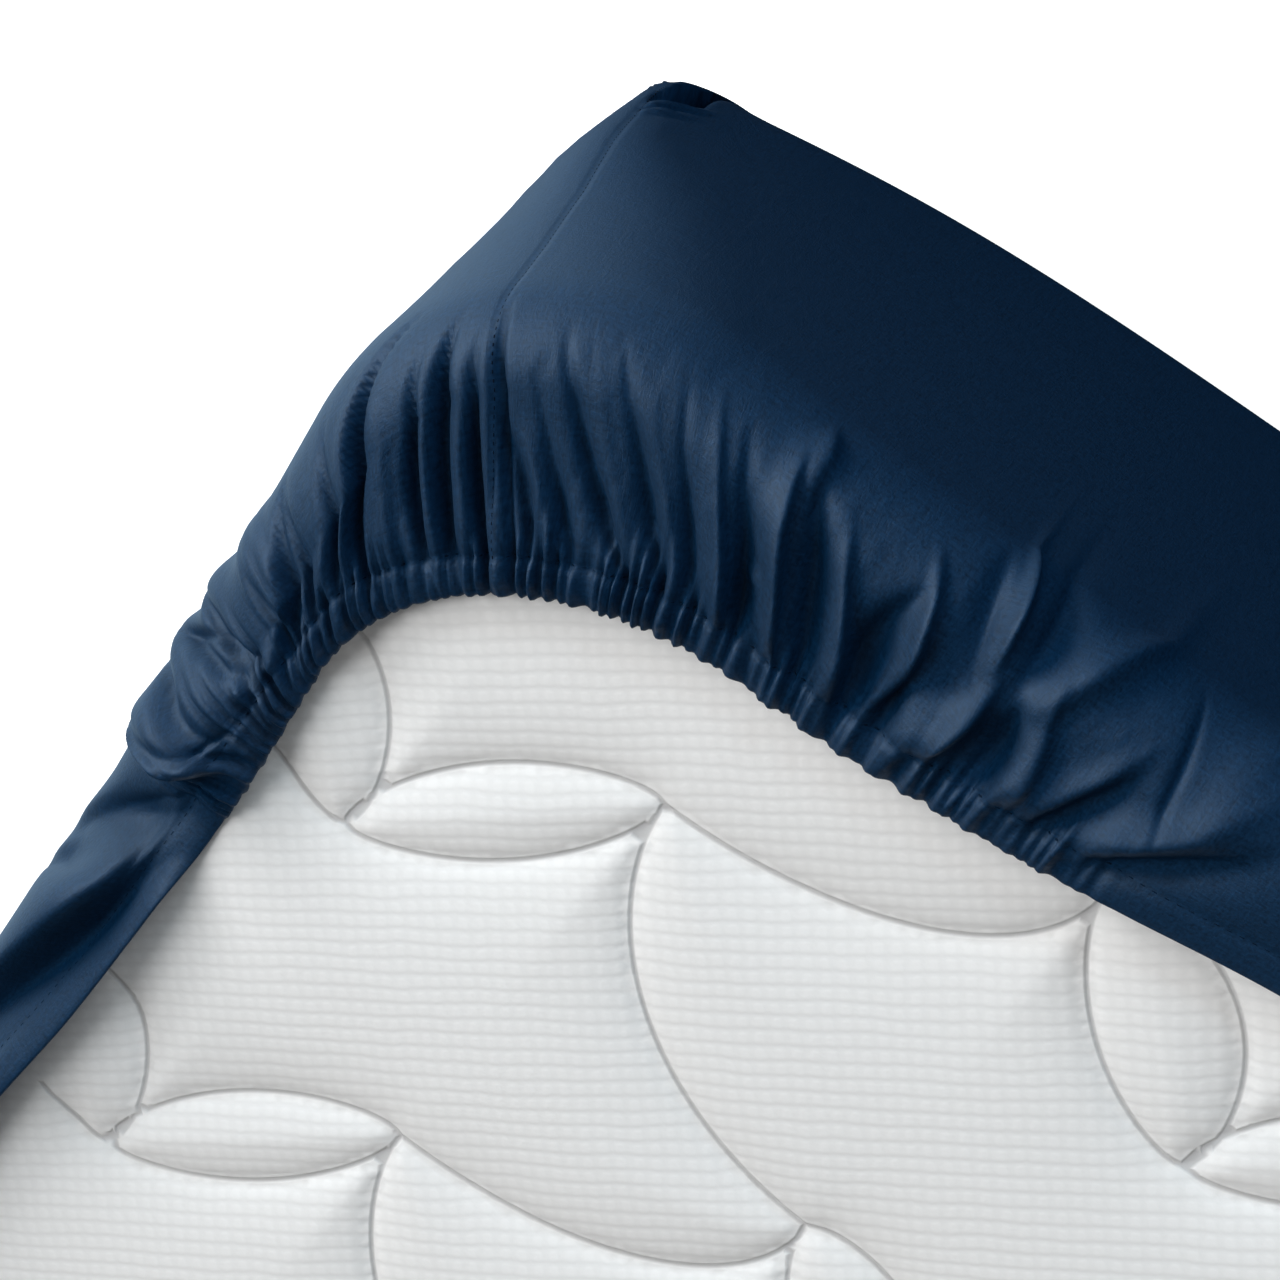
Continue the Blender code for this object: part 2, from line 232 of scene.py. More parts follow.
# the view corner's folds: the stages where a fold starts and ends, its run at the start, halfway and at the end, its
# height (valleys are below zero), how wide it is before and after its line, the share of its height left at the end,
# how far its crest leans over, as a share of its height, and the share of its climb over which it grows to full height
foldColumns = ("start", "end", "top", "middle", "last", "height", "before", "after", "left", "lean", "grow")
viewFolds = [
    # before the seam: narrow valleys between flat ridges
    (2.10, 4.0, -158, -150, -149, -5.0, 1.6, 3.4, 0.3, 0, 0.3),
    (2.10, 3.4, -147, -136, -126, -4.5, 1.5, 3.2, 0, 0, 0.3),
    (2.10, 4.0, -131, -127, -123, -5.0, 1.6, 3.2, 0.3, 0, 0.3),
    (2.10, 3.5, -152, -128, -116, -2.6, 1.4, 2.2, 0, 0, 0.4),
    (2.10, 3.6, -172, -160, -136, -3.4, 1.6, 2.6, 0, 0, 0.4),
    (2.55, 4.0, -108, -108, -111, -4.0, 2.2, 3, 0.3, 0, 0.5),
    (2.30, 4.0, -80, -98, -102, -6.0, 3, 4, 0.5, 0, 0.5),
    (2.50, 4.0, -86, -110, -117, 2.5, 5, 3, 0.3, 0.2, 0.5),
    (2.35, 4.0, -81, -88, -91, -4.0, 2.2, 2.8, 0.4, 0, 0.5),
    (2.40, 4.0, -56, -69, -70, -4.5, 1.8, 2.4, 0.4, 0, 0.6),
    (2.50, 4.0, -62, -78, -79, 2.5, 5, 4, 0.3, 0.2, 0.5),
    (2.30, 4.0, -29, -62, -58, 3.0, 5, 2.6, 0.5, 0.1, 0.5),
    (2.20, 4.0, -21, -54.5, -50, -8.0, 2.8, 2.4, 0.7, 0, 0.4),
    (2.50, 4.0, -33, -42, -38, 2.0, 5, 4, 0.3, 0, 0.6),
    (2.45, 4.0, -16, -30, -24, -6.5, 1.7, 2.0, 0.6, 0, 0.6),
    (2.60, 4.0, -19, -25, -20, 1.8, 3, 2.5, 0.3, 0.2, 0.5),
    (2.35, 4.0, -8, -19, -15, -8.0, 2.0, 2.2, 0.7, 0, 0.45),
    (2.60, 4.0, -7, -12, -7, 1.5, 3.5, 3, 0.3, 0.2, 0.5),
    (2.55, 4.0, -2, -7.5, -1.5, -6.5, 1.5, 1.9, 0.6, 0, 0.6),
    # the valley beside the seam, and the soft ones after it
    (2.30, 3.9, 3.0, 2.6, 8, -4.0, 0.9, 1.3, 0.5, 0, 0.4),
    (2.60, 4.0, -2.4, -2.2, 0, 1.4, 2, 2.2, 0.5, 0, 0.5),
    (3.05, 4.0, 2, 10, 17, -5.0, 2.4, 3.4, 0.6, 0, 0.5),
    (3.10, 4.0, 10, 17, 27, 2.0, 5, 2.6, 0.4, 0.2, 0.5),
    (2.75, 4.0, 12, 20, 36, -4.5, 2.2, 3.6, 0.6, 0, 0.9),
    (2.45, 4.0, 22, 30, 59, -6.0, 3, 4, 0.6, 0, 0.9),
    (2.60, 4.0, 34, 40, 63, 1.4, 6, 4, 0.4, 0.2, 0.9),
    (2.45, 4.0, 37, 50, 70, -5.5, 3.4, 4.4, 0.6, 0, 0.9),
    (2.60, 4.0, 48, 60, 76, 1.8, 6, 3, 0.4, 0.2, 0.9),
    (2.50, 4.0, 59, 67, 79, -5.0, 2.8, 3.6, 0.5, 0, 0.9),
    # the large ridges of the long side, each with the valley in its shade
    (2.45, 4.0, 68, 80, 88, 5.5, 6, 2.2, 0.4, 0.3, 0.8),
    (2.50, 4.0, 79, 88, 95, -6.0, 2.6, 7, 0.6, 0, 0.7),
    (2.45, 4.0, 97, 101, 113, 7.5, 7, 2.2, 0.3, 0.35, 0.5),
    (2.40, 4.0, 101, 112, 121, -6.5, 3, 5, 0.6, 0, 0.5),
    (2.20, 2.85, 102, 103, 104, 3.0, 5, 2.5, 0, 0.3, 0.5),
    (2.60, 4.0, 114, 127, 135, 6.5, 6, 2.4, 0.35, 0.35, 0.6),
    (2.60, 4.0, 150, 137, 142, -7.5, 4.5, 6, 0.6, 0, 0.6),
    (2.45, 3.75, 138, 150, 145, 6.0, 3.2, 2.2, 0, 0.3, 0.5),
    (3.10, 4.0, 150, 152, 155, -5.0, 2.6, 3.4, 0.4, 0, 0.5),
    (2.10, 3.20, 156, 161, 168, -3.5, 5, 2.0, 0, 0, 0.6),
    (1.75, 3.06, 158, 165, 171, 6.5, 2.3, 1.7, 0, 0.2, 0.85),
    (2.90, 4.0, 172, 169, 160, 7.0, 5, 2.6, 0.35, 0.3, 0.45),
    (1.75, 3.20, 168, 175, 176, -6.5, 3, 7, 0, 0, 0.8),
    (1.70, 3.25, 202, 191, 175, 5.5, 7, 5, 0, 0.2, 0.7),
    (2.85, 4.0, 177, 180, 175, -7.0, 4.5, 3, 0.6, 0, 0.5),
    (2.65, 4.0, 181, 188, 184, 6.0, 6, 3.4, 0.3, 0.3, 0.6),
    (2.60, 4.0, 212, 200, 190, 3.5, 5, 2.4, 0.3, 0.2, 0.6),
    (2.75, 4.0, 213, 203, 193, -5.0, 2.2, 6, 0.4, 0, 0.6),
    (2.10, 3.45, 209, 216, 221, -1.6, 1.0, 1.2, 0, 0, 0.5),
    (2.10, 3.45, 205, 212, 217, 0.6, 6, 3, 0, 0, 0.5),
    (2.35, 4.0, 245, 223, 200, 6.0, 8, 6, 0.3, 0.2, 0.8),
    (2.50, 4.0, 256, 231, 204, -5.0, 5, 9, 0.4, 0, 0.7),
    (1.60, 4.0, 236, 231, 222, 6.5, 14, 46, 0.6, 0, 0.6),
    # the cloth that hangs over past the end of the elastic, and the hollow under it
    (2.02, 4.0, -178, -161, -162, 10.5, 4.5, 15, 0.35, -0.6, 0.45),
    (2.02, 4.0, -218, -187, -178, -14.0, 11, 5, 0.7, 0, 0.3),
    (2.10, 3.1, -232, -208, -194, -5.0, 4, 5, 0, 0, 0.4),
]
# soft swellings of the view corner: run, stage, height, reach along the run and reach up the stages
viewBulges = [
    (-127, 2.2, 3.0, 8, 0.4), (-146, 2.2, 3.5, 7, 0.4), (-160, 2.3, 2.0, 7, 0.4), (-105, 2.5, 2.0, 7, 0.4),
    (-160, 3.3, 2.5, 4, 0.2), (-143, 3.5, 3.0, 3.5, 0.15), (-133, 3.1, 1.6, 3, 0.2), (-119, 3.35, 3.0, 4, 0.2),
    (93, 3.38, 2.0, 3, 0.06), (10, 1.9, 1.5, 60, 0.5),
]


def cornerFolds(corner):
    if corner == 0:
        return [dict(zip(foldColumns, row)) for row in viewFolds]
    folds = []
    for count in range(-13, 14):
        hem = 14 * count + 4 * math.sin(2.4 * count + corner)
        rising = count % 2
        folds.append({
            "start": 2.45 + 0.3 * math.sin(1.3 * count + 2 * corner),
            "end": 4.0,
            "top": hem * 1.05 + 5 * math.cos(1.7 * count + corner),
            "middle": hem * 1.02 + 3 * math.cos(2.9 * count + corner),
            "last": hem,
            "height": (5.0 if rising else -5.0) + 1.5 * math.cos(2.1 * count + 3 * corner),
            "before": 7 if rising else 4, "after": 4 if rising else 6,
            "left": 0.35, "lean": 0.3 if rising else 0, "grow": 0.5,
        })
    return folds


def foldShape(corner, run, stage):
    # how far the folds lift the cloth here, and how far they push it along
    lift, slide = 0 * run, 0 * run
    for fold in cornerFolds(corner):
        climb = np.clip((stage - fold["start"]) / (fold["end"] - fold["start"]), 0, 1)
        line = (
            fold["top"] * (1 - climb) * (1 - 2 * climb)
            + fold["middle"] * 4 * climb * (1 - climb)
            + fold["last"] * climb * (2 * climb - 1)
        )
        offset = run / mm - line
        width = np.where(offset < 0, fold["before"], fold["after"])
        width = width * (0.38 + 0.62 * smoothStep(climb, 0, fold["grow"])) * (1 - 0.35 * smoothStep(climb, 0.65, 1))
        across = np.exp(-((np.sqrt((offset / width) ** 2 + 0.02) - 0.14) ** 1.5))
        swell = smoothStep(climb, 0, fold["grow"]) * (1 - (1 - fold["left"]) * smoothStep(climb, 0.6, 1))
        lift = lift + fold["height"] * mm * swell * across
        slide = slide + fold["lean"] * fold["height"] * mm * swell * across
    if corner == 0:
        for place, level, height, reach, climb in viewBulges:
            lift = lift + height * mm * np.exp(-(((run / mm - place) / reach) ** 2) - ((stage - level) / climb) ** 2)
    return lift, slide


# the loose cloth past the elastic on the short side: how far from the hem its gutter and the crest outside it lie,
# and how far the hem and the crest stand up, in mm
gutter = {
    "run": (-330, -300, -270, -240, -218, -200, -187, -178),
    "bottom": (24, 21, 17, 11.5, 8, 6, 4.5, 4),
    "crest": (38, 34, 29, 22, 18, 15, 12.5, 11),
    "hemRise": (10, 10, 10, 9, 8, 6, 3, 1),
    "crestRise": (9, 9, 9.5, 10, 10, 9, 5, 1),
}


def hangingHem(run, stage, fromHem):
    # how far this loose cloth stands off the mattress, and how far it rises
    gone = 1 - smoothStep(-run / mm, 340, 460)
    loose = smoothStep(-run / mm, 191, 218) * gone
    bottom, crest, hemRise, crestRise = [
        np.interp(run / mm, gutter["run"], gutter[key]) for key in ("bottom", "crest", "hemRise", "crestRise")
    ]
    away = fromHem / mm
    outside = smoothStep(away, bottom, crest)
    rise = hemRise * np.clip(1 - away / bottom, 0, 1) ** 0.9
    rise = rise + crestRise * outside * np.exp(-((np.clip(away - crest, 0, None) / 12) ** 2))
    belly = 2.5 * np.exp(-(((stage - 2.3) / 0.45) ** 2)) + 4.0 * smoothStep(stage, 2.1, 2.8)
    return loose * belly * outside * mm, smoothStep(-run / mm, 184, 206) * gone * rise * mm


def seamRun(corner, stage):
    # the corner seam leans a little along the side after it, as on the photographed corner
    lean = curveThrough(stage, (0, 0.6, 1, 1.5, 2, 2.5, 3, 3.5, 4), (0, 0, 2, 6, 6.5, 4.5, 2.5, 3, 4)) * mm
    return lean if corner == 0 else 0.3 * lean


def elasticShare(corner, run):
    # 1 where the elastic draws the hem in, 0 along the sides
    if corner == 0:
        return smoothStep(run, -0.182, -0.166) * (1 - smoothStep(run, 0.202, 0.224))
    return smoothStep(run, -0.21, -0.18) * (1 - smoothStep(run, 0.18, 0.21))


def cornerSoftness(corner, run):
    # where the mattress gives way: under the gathers, and under the cloth that hangs over beside them
    softness = elasticShare(corner, run)
    if corner == 0:
        softness = np.maximum(softness, 2 * np.exp(-(((run / mm + 191) / 11) ** 2)))
    return softness


def cornerRuns(corner):
    # sections stand at even steps along the hem, closer where the folds are
    before, after = halfSide(corner, "before"), halfSide(corner, "after")
    fine = np.linspace(-before, after, 6001)
    hem = section(corner, fine, np.full_like(fine, 4.0))[0]
    lengths = np.linalg.norm(np.diff(hem, axis=0), axis=1)
    spacing = viewSpacing if corner == 0 else plainSpacing
    middle = (fine[1:] + fine[:-1]) / 2
    steps = np.interp(middle / mm, spacing["run"], spacing["step"], left=sideSpacing / mm, right=sideSpacing / mm)
    counted = np.concatenate([[0], np.cumsum(lengths / (steps * mm))])
    count = round(counted[-1])
    runs = np.interp(np.arange(count) * counted[-1] / count, counted, fine)
    seam = np.argmin(np.abs(runs))
    runs[seam] = 0.0  # one section stands on the seam
    return runs


def sheetCorner(corner):
    # the rows of one corner's part of the sheet, as an array of points, with its place in the flat cloth
    runs = cornerRuns(corner)
    hemLine, _, _, _ = section(corner, runs, np.full_like(runs, 4.0))
    stepsAlong = np.linalg.norm(np.diff(hemLine, axis=0), axis=1)
    hemLength = np.concatenate([[0], np.cumsum(stepsAlong)])
    hemLength -= hemLength[np.argmin(np.abs(runs))]
    rimLine, _, _, _ = section(corner, runs, np.full_like(runs, 3.0))
    wrap = np.linalg.norm(hemLine - rimLine, axis=1)
    rimArc = math.pi / 2 * block["rim"]
    band = 1.12 * sheet["hemWidth"]
    bandStage = np.where(band < wrap, 4 - band / wrap, 3 - (band - wrap) / rimArc)

    stages = [np.full_like(runs, stage) for stage in lowStages]
    climb = np.linspace(0, 1, 42)[1:]
    climb = climb + 0.2 * climb * (1 - climb)
    stages += [2 + part * (bandStage - 2) for part in climb]
    for part in np.linspace(0, 1, 10)[1:]:
        distance = band * (1 - part)
        flatPart = 4 - distance / np.maximum(wrap, distance + mm)
        stages.append(np.where(distance < wrap, flatPart, 3 - (distance - wrap) / rimArc))
    stage = np.array(stages)
    run = np.broadcast_to(runs, stage.shape)
    if corner == 0:
        # the rows follow the tuck's slanted lip
        offset = run / mm
        beside = smoothStep(offset, -8, 0) * (1 - smoothStep(offset, 14, 30))
        stage = stage - 0.009 * (offset - 5) * beside * smoothStep(stage, 0.6, 0.86) * (1 - smoothStep(stage, 1.12, 1.36))

    near = np.exp(-((run / (45 * mm)) ** 2))
    warped = run + seamRun(corner, stage) * near
    points, normals, along, inward = section(corner, warped, stage)
    # how far each point is from the hem's edge, up the section
    fromHem = np.where(stage > 3, (4 - stage) * wrap, wrap + (3 - stage) * rimArc)
    fromHem = np.where(stage < 2, wrap + rimArc + (2 - stage) * 0.12, fromHem)

    elastic = elasticShare(corner, run)
    toBand = smoothStep(fromHem, 4 * mm, 18 * mm)
    gathered = elastic * smoothStep(stage, 2.1, 3.0)
    folds, slide = foldShape(corner, run, stage)
    settled = 1 - 0.85 * (1 - smoothStep(fromHem, 2 * mm, 17 * mm)) * np.maximum(elastic, 0.5)
    folds, slide = folds * settled, slide * settled
    lift = gathered * sheet["loose"] * (0.55 + 0.45 * toBand) + folds
    rise = 0 * lift
    if corner == 0:
        standOff, rise = hangingHem(run, stage, fromHem)
        lift += standOff
    # soft pleats that run up from the hem, between the main folds
    phase = hemLength / sheet["pleatPitch"] * 2 * math.pi + 1.8 * waver(hemLength / (23 * mm), corner)
    fading = np.exp(-((fromHem / (20 * mm)) ** 2)) * (0.6 + 0.4 * waver(hemLength / (31 * mm), 3))
    lift += elastic * sheet["pleatHeight"] * np.sin(phase) * fading
    # the elastic's own small ruffles: round crests with creases between them
    phase = hemLength / sheet["gatherPitch"] * math.pi + 2.2 * waver(hemLength / (8 * mm), 5 + corner)
    # rounded curls before the seam, narrower pleats with wide gaps after it
    crest = np.where(runs < 8 * mm, np.abs(np.sin(phase)) ** 0.7, 0.25 + np.abs(np.sin(phase)) ** 1.8)
    size = np.clip(1 + 0.9 * waver(hemLength / (6 * mm), 8 + corner), 0.35, 1.9)
    above = np.clip(fromHem - sheet["hemWidth"], 0, None)
    reach = (6 + 4 * waver(hemLength / (5 * mm), 11 + corner)) * mm
    tight = smoothStep(-run / mm, 50, 100) if corner == 0 else 0 * run
    deep = (1.3 + 0.9 * tight - 0.8 * smoothStep(run / mm, 60, 130)) * sheet["gatherHeight"]
    reach = reach * (1 + 0.9 * tight)
    ruffles = elastic * deep * size * (crest - 0.55) * np.exp(-((above / reach) ** 1.3))
    lift += ruffles * (0.5 + 0.5 * smoothStep(fromHem, 0, 3 * mm))
    # small crumples where the cloth is drawn together
    grain = waver(run / (2.6 * mm) + 1.5 * waver(stage * 6, 2), 4) * waver(stage * 7 + run / (19 * mm), 9)
    lift += gathered * 0.45 * mm * grain * toBand
    low = -sheet["sunk"] - sheet["hollow"] * cornerSoftness(corner, run) * (1 - smoothStep(stage, 2.8, 3.2)) * smoothStep(stage, 2.0, 2.3)
    lift = np.where(lift < low, low + (lift - low) * 0.2, lift)

    # the hem: two layers over the elastic, pinched along its stitches
    inBand = np.clip(1 - fromHem / sheet["hemWidth"], 0, 1)
    tunnel = np.sqrt(np.clip(1 - (2 * inBand - 1) ** 2, 0, 1)) * np.clip(inBand * 6, 0, 1)
    pinch = np.exp(-(((fromHem - sheet["hemWidth"]) / (1.1 * mm)) ** 2))
    lift += 0.7 * mm * tunnel - 0.6 * mm * pinch * (0.35 + 0.65 * elastic)
    lift += sheet["tunnel"] * smoothStep(fromHem, 26 * mm, 4 * mm) * (stage > 2)
    # the seam down the corner: a fine crease with the cloth rolled up a little beside it
    across = np.abs(run) / mm
    seam = -0.6 * np.exp(-((across / 0.7) ** 2))
    lift += seam * mm * smoothStep(stage, 0.5, 0.9)
    if corner == 0:
        lift += tuckWrinkles(run, stage)
    points = points + normals * lift[..., None] + along * slide[..., None]
    points[..., 2] += rise
    if corner == 0:
        points = points + tuck(run, stage, inward)
    rows = [points]
    # the turned edge, and the hem's under side
    edge = points[-1]
    inwardEdge = inward[-1]
    up = np.array([0, 0, 1.0])
    floorHeight = block["height"] - 1.5 * mm
    fall = np.clip(edge[:, 2] - floorHeight, 0.8 * mm, (1.2 + 1.8 * elastic[-1]) * mm)
    half = (fall / 2)[:, None]
    scallop = (elastic[-1] * (0.6 + 0.4 * tight[-1] - 0.35 * smoothStep(runs / mm, 60, 130)) * mm * (crest - 0.5))[:, None]
    for turn in np.linspace(0, math.pi, 7)[1:]:
        swell = np.sin(turn)
        rows.append((edge + inwardEdge * (half * 0.9 + scallop) * swell - up * half * (1 - np.cos(turn)))[None])
    for back in (3, 8):
        rows.append((points[-back] - normals[-back] * fall[:, None])[None])
    return np.concatenate(rows), runs


tuckDepth = {"stage": (0.82, 0.86, 0.92, 0.97, 1.04, 1.08, 1.11), "inward": (0, 14, 21, 24, 22, 13, 0)}
tuckDrop = {"stage": (0.82, 0.86, 0.92, 0.97, 1.02, 1.07, 1.11), "down": (0, 15, 22, 17, 8, 2, 0)}


def tuck(run, stage, inward):
    # the pocket at the foot of the seam, where the corner's cloth is folded in
    offset = run / mm
    level = stage + 0.009 * (offset - 5)
    # the pleats at its left cover it further towards the foot
    start = 0.4 + 5 * smoothStep(1.08 - level, 0, 0.2)
    wide = (smoothStep(offset, start, start + 1.2) * (1 - smoothStep(offset, 10, 12.5)))[..., None]
    deep = curveThrough(level, tuckDepth["stage"], tuckDepth["inward"])[..., None]
    down = curveThrough(level, tuckDrop["stage"], tuckDrop["down"])[..., None]
    return wide * (inward * deep - np.array([0, 0, 1.0]) * down) * mm


def tuckWrinkles(run, stage):
    # soft wrinkles above the pocket's lip, and small pleats on the seam's other side
    offset = run / mm
    level = stage + 0.009 * (offset - 5)
    wrinkles = np.exp(-(((offset - 6) / 8) ** 2) - ((level - 1.18) / 0.06) ** 2) * smoothStep(offset, -1, 2)
    wrinkles = wrinkles * np.cos((level - 1.15) * 2 * math.pi / 0.065)
    pleats = np.exp(-(((offset + 3) / 4) ** 2) - ((stage - 0.98) / 0.13) ** 2) * np.cos((offset + 25 * stage) * 1.9)
    hood = np.exp(-(((offset - 8) / 9) ** 2) - ((stage - 0.68) / 0.15) ** 2)
    return (1.4 * wrinkles + 0.6 * pleats + 2.2 * hood) * mm


lowStages = (
    0, 0.22, 0.4, 0.52, 0.62, 0.7, 0.76, 0.81, 0.85, 0.88, 0.92, 0.96, 1, 1.03, 1.06, 1.09, 1.12, 1.135,
    1.15, 1.165, 1.18, 1.195, 1.21, 1.225, 1.24, 1.26, 1.3, 1.36, 1.44, 1.54, 1.66, 1.78, 1.9, 2,
)
bandRow = len(lowStages) + 41  # the row of points that the hem's stitches follow


def makeSheet():
    made = [sheetCorner(corner) for corner in range(4)]
    points = np.concatenate([rows for rows, _ in made], axis=1)
    rows, columns = points.shape[:2]
    # the flat panel that is slept on: one ring more inside the lowest, then one face across
    middle = points[0].mean(axis=0)
    inner = middle + (points[0] - middle) * 0.93
    grid = np.concatenate([inner[None], points])
    faces = quadFaces(rows + 1, columns, closed=True)
    faces.append(tuple(range(columns)))
    piece = gridMesh("sheetCotton", grid, faces)
    # the flat cloth's own measure: along the hem, and up the section from the floor
    steps = np.linalg.norm(np.diff(np.concatenate([points, points[:, :1]], 1)[bandRow], axis=0), axis=1)
    alongCloth = np.concatenate([[0], np.cumsum(steps)])[:-1]
    upCloth = np.concatenate([[-0.05], [0], np.cumsum(np.linalg.norm(np.diff(points, axis=0), axis=2).mean(1))])
    places = np.stack(np.broadcast_arrays(alongCloth[None, :], upCloth[:, None]), -1).reshape(-1, 2)
    layer = piece.data.uv_layers.new(name="cloth")
    corner = np.zeros(len(piece.data.loops), dtype=np.int32)
    piece.data.loops.foreach_get("vertex_index", corner)
    layer.data.foreach_set("uv", places[corner].astype(np.float32).ravel())
    print("sheet:", rows, "rows,", columns, "sections,", 2 * rows * columns, "triangles")
    return piece, points, [runs for _, runs in made]


thread = {
    "hemPitch": 3.1 * mm,
    "hemStitch": 1.8 * mm,
    "seamPitch": 2.1 * mm,
    "seamStitch": 1.3 * mm,
    "radius": 0.22 * mm,
}


def stitchRow(path, normals, pitch, length, sunk):
    # one small six-sided stitch after another along a path
    steps = np.linalg.norm(np.diff(path, axis=0), axis=1)
    travelled = np.concatenate([[0], np.cumsum(steps)])
    centres = np.arange(pitch, travelled[-1] - pitch, pitch)
    ends = [np.stack([np.interp(centres + side * length / 2, travelled, path[:, axis]) for axis in range(3)], 1)
            for side in (-1, 1)]
    out = np.stack([np.interp(centres, travelled, normals[:, axis]) for axis in range(3)], 1)
    out /= np.linalg.norm(out, axis=1)[:, None]
    way = ends[1] - ends[0]
    way /= np.linalg.norm(way, axis=1)[:, None]
    sideways = np.cross(way, out)
    points, faces = [], []
    # four rings of six points: the two ends are drawn in and down
    for part, size, drop in ((0, 0.35, 0.9), (0.22, 1, 0), (0.78, 1, 0), (1, 0.35, 0.9)):
        middle = ends[0] + (ends[1] - ends[0]) * part - out * (sunk + drop * thread["radius"])
        for turn in np.arange(6) * math.pi / 3:
            points.append(middle + thread["radius"] * size * (out * math.cos(turn) + sideways * math.sin(turn)))
    points = np.array(points).transpose(1, 0, 2)
    for stitch in range(len(centres)):
        first = stitch * 24
        for ring in range(3):
            for turn in range(6):
                after = (turn + 1) % 6
                low, high = first + ring * 6, first + ring * 6 + 6
                faces.append((low + turn, low + after, high + after, high + turn))
        faces.append(tuple(first + turn for turn in range(5, -1, -1)))
        faces.append(tuple(first + 18 + turn for turn in range(6)))
    return points.reshape(-1, 3), faces


def joinRows(name, rows):
    points, faces = [], []
    for rowPoints, rowFaces in rows:
        start = sum(len(part) for part in points)
        faces += [tuple(start + index for index in face) for face in rowFaces]
        points.append(rowPoints)
    return gridMesh(name, np.concatenate(points), faces)


def makeStitches(points, allRuns):
    # the way out of the cloth at each point, from its neighbours on both sides
    along = np.roll(points, -1, axis=1) - np.roll(points, 1, axis=1)
    climb = np.gradient(points, axis=0)
    normals = np.cross(along, climb)
    normals /= np.linalg.norm(normals, axis=2)[..., None] + 1e-12
    normals *= np.sign((normals * (points - points.mean(axis=(0, 1)))).sum(2).mean())
    hem = stitchRow(points[bandRow], normals[bandRow], thread["hemPitch"], thread["hemStitch"], 0.1 * mm)
    seams, first = [], 0
    for runs in allRuns:
        column = first + int(np.argmin(np.abs(runs)))
        rows = slice(5, bandRow + 6)
        seams.append(stitchRow(points[rows, column], normals[rows, column], thread["seamPitch"], thread["seamStitch"], 0.1 * mm))
        first += len(runs)
    print("stitches:", len(hem[1]) // 20, "along the hem,", sum(len(seam[1]) for seam in seams) // 20, "down the seams")
    return joinRows("hemStitches", [hem]), joinRows("seamStitches", seams)


def linear(code):
    values = [int(code[place:place + 2], 16) / 255 for place in (1, 3, 5)]
    return tuple(value / 12.92 if value <= 0.04045 else ((value + 0.055) / 1.055) ** 2.4 for value in values) + (1,)


def addNode(tree, kind, settings=None, inputs=None):
    # inputs are values, or the sockets they come from
    node = tree.nodes.new(kind)
    for key, value in (settings or {}).items():
        setattr(node, key, value)
    for key, value in (inputs or {}).items():
        if isinstance(value, bpy.types.NodeSocket):
            tree.links.new(value, node.inputs[key])
        else:
            node.inputs[key].default_value = value
    return node


def newMaterial(name):
    material = bpy.data.materials.new(name)
    material.use_nodes = True
    return material, material.node_tree, material.node_tree.nodes["Principled BSDF"]


def cottonSateen():
    # cotton sateen: its long floats of fine yarn give a dark, even cloth a soft, slightly cool gloss
    material, tree, shader = newMaterial("navyCottonSateen")
    place = addNode(tree, "ShaderNodeUVMap", {"uv_map": "cloth"}).outputs["UV"]
    heights = []
    # yarns of about 0.2 mm, drawn as uneven streaks of about 0.6 mm so that they show, along and across the cloth
    for scale in ((1 / (0.55 * mm), 1 / (9 * mm), 1), (1 / (9 * mm), 1 / (0.55 * mm), 1)):
        stretched = addNode(tree, "ShaderNodeMapping", inputs={"Vector": place, "Scale": scale})
        streaks = addNode(tree, "ShaderNodeTexNoise", inputs={
            "Vector": stretched.outputs["Vector"], "Scale": 1.0, "Detail": 2.0, "Roughness": 0.6,
        })
        heights.append(streaks.outputs["Fac"])
    weave = addNode(tree, "ShaderNodeMath", {"operation": "ADD"}, {0: heights[0], 1: heights[1]})
    creases = addNode(tree, "ShaderNodeTexNoise", inputs={
        "Vector": place, "Scale": 1 / (14 * mm), "Detail": 3.0, "Roughness": 0.55, "Distortion": 0.6,
    })
    # slubs: small thick and thin places of about 1 mm
    slubs = addNode(tree, "ShaderNodeTexNoise", inputs={
        "Vector": place, "Scale": 1 / (1.1 * mm), "Detail": 3.0, "Roughness": 0.7,
    })
    grain = addNode(tree, "ShaderNodeMath", {"operation": "MULTIPLY_ADD"}, {0: slubs.outputs["Fac"], 1: 1.4, 2: -0.7})
    mottled = addNode(tree, "ShaderNodeMath", {"operation": "MULTIPLY_ADD"}, {0: weave.outputs[0], 1: 0.5, 2: grain.outputs[0]})
    colour = addNode(tree, "ShaderNodeMix", {"data_type": "RGBA"}, {
        "Factor": mottled.outputs[0], "A": linear("#001326"), "B": linear("#0c3558"),
    })
    tree.links.new(colour.outputs["Result"], shader.inputs["Base Color"])
    fine = addNode(tree, "ShaderNodeBump", inputs={"Height": mottled.outputs[0], "Distance": 0.0002, "Strength": 0.5})
    soft = addNode(tree, "ShaderNodeBump", inputs={
        "Height": creases.outputs["Fac"], "Distance": 0.0014, "Strength": 0.2, "Normal": fine.outputs["Normal"],
    })
    tree.links.new(soft.outputs["Normal"], shader.inputs["Normal"])
    shader.inputs["Roughness"].default_value = 0.64
    shader.inputs["Specular IOR Level"].default_value = 0.6
    shader.inputs["Specular Tint"].default_value = linear("#c2e0ff")
    return material


